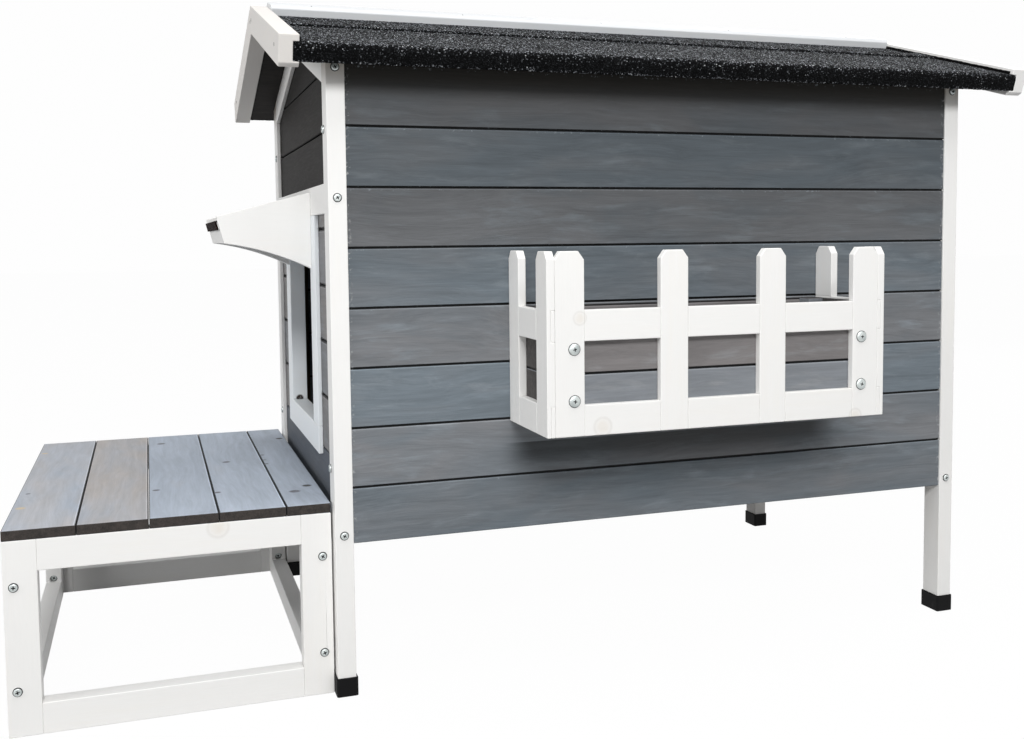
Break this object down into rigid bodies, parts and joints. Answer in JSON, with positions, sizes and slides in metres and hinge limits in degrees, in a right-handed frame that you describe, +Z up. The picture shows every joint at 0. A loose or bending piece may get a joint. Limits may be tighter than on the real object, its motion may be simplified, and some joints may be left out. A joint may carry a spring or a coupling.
{
  "type": "outdoor cat house",
  "caption": "Boarded timber cat house on capped corner posts, with a hinged gable roof, a canopied doorway, a picket flower box and a stepping porch.",
  "frame": {"origin": "middle of the overall box, on the ground under the posts", "axes": "+X along the ridge from the doorway to the far gable, +Y from the flower box wall to the back wall, +Z up"},
  "size_m": [1.342, 0.7212, 0.8807],
  "materials": {
    "white_paint": "satin opaque paint",
    "wall_stain": "matt blue-grey stain with grain",
    "deck_stain": "matt grey stain with grain",
    "liner_stain": "matt grey stain with grain",
    "bare_wood": "planed, unpainted",
    "felt_shingle": "mineral granules on felt",
    "cap_plastic": "moulded, matt",
    "zinc": "zinc plated"
  },
  "bodies": {
    "house": {"post_door_front": "white_paint", "post_door_back": "white_paint", "post_far_front": "white_paint", "post_far_back": "white_paint", "foot_caps": "cap_plastic", "front_wall_boards": "wall_stain", "back_wall_boards": "wall_stain", "wall_battens": "bare_wood", "door_gable_boards": "wall_stain", "door_side_boards_front": "wall_stain", "door_side_boards_back": "wall_stain", "door_base_board": "wall_stain", "door_mid_rail": "white_paint", "door_bottom_rail": "white_paint", "door_rafter_front": "white_paint", "door_rafter_back": "white_paint", "far_gable_boards": "wall_stain", "far_bottom_rail": "white_paint", "far_rafter_front": "white_paint", "far_rafter_back": "white_paint", "door_sill": "white_paint", "door_stile_front": "white_paint", "door_stile_back": "white_paint", "door_head": "white_paint", "canopy_cheek_front": "white_paint", "canopy_cheek_back": "white_paint", "canopy_top_board": "white_paint", "canopy_felt": "felt_shingle", "canopy_front_board": "white_paint", "floor_boards": "bare_wood", "floor_bearers": "bare_wood", "hinge_wall_leaves": "zinc", "hinge_pins": "zinc", "planter_front_pickets": "white_paint", "planter_side_pickets": "white_paint", "planter_front_rails": "white_paint", "planter_side_rails": "white_paint", "planter_liner": "liner_stain", "planter_base": "liner_stain", "planter_battens": "liner_stain", "planter_bolts": "zinc", "porch_deck_boards": "deck_stain", "porch_legs": "white_paint", "porch_rails": "white_paint", "porch_side_legs": "white_paint", "porch_side_rails": "white_paint", "frame_screws": "zinc"},
    "roof": {"roof_board_front": "bare_wood", "roof_board_back": "bare_wood", "roof_battens": "bare_wood", "shingles_front": "felt_shingle", "shingles_back": "felt_shingle", "ridge_cap_front": "white_paint", "ridge_cap_back": "white_paint", "bargeboard_door_front": "white_paint", "bargeboard_door_back": "white_paint", "bargeboard_far_front": "white_paint", "bargeboard_far_back": "white_paint", "hinge_roof_leaves": "zinc", "hinge_roof_screws": "zinc"}
  },
  "joints": [
    {"name": "roof_hinge", "type": "hinge", "parent": "house", "child": "roof", "pos_m": [0.146, 0.3125, 0.75865], "axis": [-1, 0, 0], "range_deg": [0, 70]}
  ]
}
